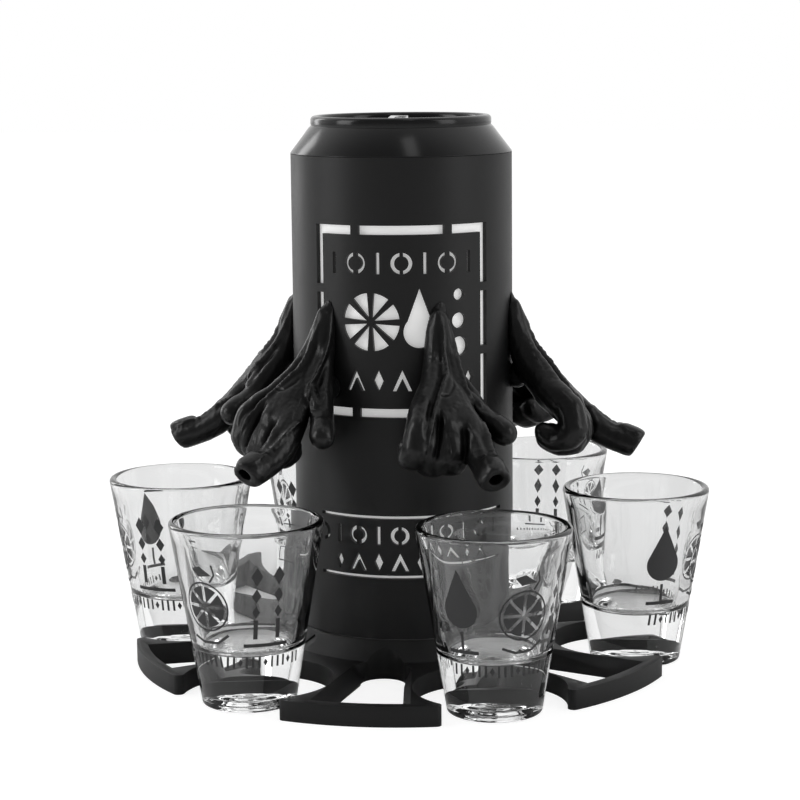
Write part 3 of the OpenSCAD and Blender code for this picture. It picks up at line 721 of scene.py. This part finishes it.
# %% Spin the glasses
GLASS_H, FOOT_R, RIM_R, FLOOR_Z, WALL, CIRCLE_R = 56.0, 14.3, 23.4, 17.5, 2.3, 74.6
PUNT_R, PUNT_H = 12.3, 4.2  # the hollow under the foot
FOOT_ROUND, FLOOR_ROUND, FLOOR_DIP = 0.9, 3, 0.9
RING_DEPTH, RING_RATE, PUNT_RINGS = 0.17, 28, 22
WAVE_SINK = 0.04  # takes the waves inward, so that the wall stays thick enough


def glass_radius(z):
    """Radius of the outside at this height, in mm."""
    return FOOT_R + (RIM_R - FOOT_R) * z / GLASS_H


def glass_outline():
    """Closed section of a glass, from the middle of the hollow round to the inner floor."""
    slope = math.degrees(math.atan((RIM_R - FOOT_R) / GLASS_H))
    lip = WALL / 2
    lip_r = glass_radius(GLASS_H - lip) - lip
    inner_r = glass_radius(FLOOR_Z) - WALL - 1
    punt = [(PUNT_R * t, PUNT_H * (1 - t ** 2.2) + RING_DEPTH * math.cos(RING_RATE * t) + 0.18)
            for t in [0.002] + [i / PUNT_RINGS for i in range(1, PUNT_RINGS)]]
    foot = arc(FOOT_R - FOOT_ROUND, FOOT_ROUND, FOOT_ROUND, -90, -slope, 6)
    rim = arc(lip_r, GLASS_H - lip, lip, -slope, 180 + slope, 12)
    inner_wall = [(glass_radius(z) - WALL - (GLASS_H - z) / GLASS_H, z)
                  for z in (50, 44, 38, 32, 26)]
    inner_corner = arc(inner_r - FLOOR_ROUND, FLOOR_Z + FLOOR_ROUND, FLOOR_ROUND, 0, -72, 8)
    inner_floor = [(inner_r * t, FLOOR_Z - FLOOR_DIP * (1 - t * t))
                   for t in (0.6, 0.4, 0.2, 0.001)]
    return punt + [(PUNT_R, 0.14)] + foot + rim + inner_wall + inner_corner + inner_floor


def flute(shape):
    """Presses shallow waves into the inner wall, as a mould leaves them."""
    for vertex in shape.verts:
        radius = math.hypot(vertex.co.x, vertex.co.y) / MM
        height = vertex.co.z / MM
        if FLOOR_Z + 2 < height < GLASS_H - 2 and radius < glass_radius(height) - WALL / 2:
            turn = math.atan2(vertex.co.y, vertex.co.x)
            wave = 0.035 * math.sin(7 * turn + 1) + 0.012 * math.sin(13 * turn + height / 9)
            vertex.co.xy *= 1 + (wave - WAVE_SINK) / radius
    return shape


centres = {}
for number in LIMBS:
    turn = limb_angle(number)
    centres[number] = Vector((CIRCLE_R * math.cos(turn), CIRCLE_R * math.sin(turn), 0))
    cup = flute(spun(glass_outline(), 144))
    bmesh.ops.translate(cup, verts=cup.verts, vec=centres[number] * MM)
    add_piece(f"glass_cup_{number}", cup, f"glass_{number}", glass,
              f"shot_glass_{number}", math.radians(60))
print("glasses spun")

# %% [markdown]
# The glasses are printed in dark grey with plain shapes: a drop, a slice of citrus,
# lozenges, a row of ticks and fill marks. Each shape is drawn flat, with its width
# along the wall and its height above the table in millimetres, out of strips and fans.
# Then it is wrapped round the glass, a hair outside the wall.

# %% Draw the prints flat
def strip(shape, path, width, closed=False):
    """A line of this width along a path."""
    points = [Vector(p) for p in path] + ([Vector(path[0])] if closed else [])
    fine = [points[0]]
    for a, b in zip(points, points[1:]):
        steps = max(1, math.ceil((b - a).length / 0.8))
        fine += [a.lerp(b, (i + 1) / steps) for i in range(steps)]
    rows = []
    for i, point in enumerate(fine):
        before, after = fine[max(i - 1, 0)], fine[min(i + 1, len(fine) - 1)]
        if closed and i in (0, len(fine) - 1):
            before, after = fine[-2], fine[1]
        way = (after - before).normalized()
        side = Vector((-way.y, way.x)) * width / 2
        rows.append([shape.verts.new((*(point + side * k), 0)) for k in (-1, 1)])
    for (a, b), (c, d) in zip(rows, rows[1:]):
        shape.faces.new((a, c, d, b))


def fan(shape, outline, middle):
    """A filled outline, in rings round its middle so that it can bend."""
    middle = Vector(middle)
    count = len(outline)
    rings = [[shape.verts.new((*middle.lerp(Vector(p), t), 0)) for p in outline]
             for t in (0.08, 0.3, 0.55, 0.8, 1.0)]
    shape.faces.new(rings[0])
    for inner, outer in zip(rings, rings[1:]):
        for i in range(count):
            k = (i + 1) % count
            shape.faces.new((inner[i], outer[i], outer[k], inner[k]))


def circle(u, v, r, start=0, end=360, count=48):
    """Points on an arc. A full circle doesn't repeat its first point."""
    last = count + (end - start < 360)
    turns = [math.radians(start + (end - start) * i / count) for i in range(last)]
    return [(u + r * math.cos(t), v + r * math.sin(t)) for t in turns]


def drop_print(shape, u):
    """A drop on a short stem and a line."""
    low = circle(u, 34.5, 5.4, 152, 388, 30)
    tip = (u, 47)
    flank = [Vector(low[-1]).lerp(Vector(tip), i / 6) for i in range(1, 6)]
    other = [Vector(tip).lerp(Vector(low[0]), i / 6) for i in range(1, 6)]
    fan(shape, low + flank + [tip] + other, (u, 35.5))
    strip(shape, [(u, 28), (u, 22.4)], 0.9)
    strip(shape, [(u - 4.8, 21.8), (u + 4.8, 21.8)], 1.1)


def citrus_print(shape, u):
    """A slice of citrus with a leaf above it and a curved line below it."""
    v = 33.2
    strip(shape, circle(u, v, 7.4), 0.55, True)
    for i in range(8):
        first = i * 45 + 4
        point = circle(u, v, 1.3, first + 18, first + 19, 1)[:1]
        wedge = point + circle(u, v, 6.3, first, first + 37, 8)
        fan(shape, wedge, sum((Vector(p) for p in wedge), Vector((0, 0))) / len(wedge))
    strip(shape, [(u + 2.6, 40.9), (u + 4.4, 43.4), (u + 3.8, 46.4)], 0.6)
    fan(shape, [(u + 3.6, 43), (u - 0.4, 45.6), (u - 3.6, 44.8), (u - 1.4, 42.4)],
        (u - 0.6, 44))
    strip(shape, [(u - 6, 23.4), (u - 2, 21.9), (u + 3, 22.2), (u + 6.6, 24.8)], 0.8)


def lozenge(shape, u, v, half_w, half_h):
    """A filled lozenge round a point."""
    fan(shape, [(u - half_w, v), (u, v - half_h), (u + half_w, v), (u, v + half_h)], (u, v))


def lozenge_print(shape, u):
    """Two columns of lozenges on a line."""
    for column in (u - 3.4, u + 3.4):
        for v, half in ((43, 2.9), (37, 2.3), (32, 1.9)):
            lozenge(shape, column, v, half * 0.62, half)
        strip(shape, [(column, 29.6), (column, 23.6)], 1.3)
    strip(shape, [(u - 6.8, 21.6), (u + 6.8, 21.6)], 1.1)


def tick_print(shape, u):
    """A row of ticks with a small lozenge in each fourth place."""
    v, step, ticks = 16.2, 1.9, 13
    for i in range(ticks):
        place = u + (i - ticks // 2) * step
        if i % 4 == 2:
            lozenge(shape, place, v, 0.7, 1.3)
        else:
            strip(shape, [(place, v - 1.75), (place, v + 1.75)], 0.7)


def fill_marks(shape, u):
    """Thin marks for how full the glass is."""
    strip(shape, [(u - 3, 50.2), (u + 5, 50.2)], 0.35)
    strip(shape, [(u - 5, 49), (u - 5, 51.4)], 0.35)
    strip(shape, [(u - 4.5, 38), (u + 4.5, 38), (u + 4.5, 42.4), (u - 4.5, 42.4)], 0.35, True)
    strip(shape, circle(u, 40.2, 1.2, count=20), 0.35, True)


print("print shapes ready")

# %% Wrap the prints round the glasses
def print_ink():
    """Dull dark grey ink."""
    finish = Finish("print_ink", IOR=1.45)
    fine = finish.speckle(0.5 * MM, 2.0)
    finish.set(Base_Color=finish.shade(fine, (0.028, 0.028, 0.029), (0.042, 0.042, 0.043)),
               Roughness=0.55 + fine * 0.15, Normal=finish.relief(fine, 0.004 * MM))
    return finish.material


LAYOUT = [(drop_print, 0), (citrus_print, 56), (lozenge_print, 112), (fill_marks, 230),
          (tick_print, 28), (tick_print, 112)]
# Where the layout starts on each glass, in degrees to the right of the camera's side
FIRST_PRINT = {1: -95, 2: -30, 3: 26, 4: 60, 5: 200, 6: -142}
INK_GAP = 0.03  # the ink stands this far outside the wall, in mm
ink = print_ink()
for number, first in FIRST_PRINT.items():
    centre = centres[number] * MM
    facing = math.atan2(spot.y - centre.y, spot.x - centre.x)
    wrapped = bmesh.new()
    for draw, place in LAYOUT:
        flat = bmesh.new()
        draw(flat, 0)
        bmesh.ops.recalc_face_normals(flat, faces=flat.faces)
        for vertex in flat.verts:
            u, v = vertex.co.xy
            radius = glass_radius(v) + INK_GAP
            turn = facing + math.radians(first + place) + u / radius
            around = Vector((radius * math.cos(turn), radius * math.sin(turn), v))
            vertex.co = centre + around * MM
        flat.normal_update()
        flat.faces.ensure_lookup_table()
        face = flat.faces[0]
        if face.normal.dot(face.calc_center_median() - centre) < 0:
            bmesh.ops.reverse_faces(flat, faces=flat.faces)
        held = bpy.data.meshes.new("print")
        flat.to_mesh(held)
        flat.free()
        wrapped.from_mesh(held)
        bpy.data.meshes.remove(held)
    add_piece(f"glass_print_{number}", wrapped, f"glass_{number}", ink,
              sharp=math.radians(60))
print("prints wrapped round", len(FIRST_PRINT), "glasses")
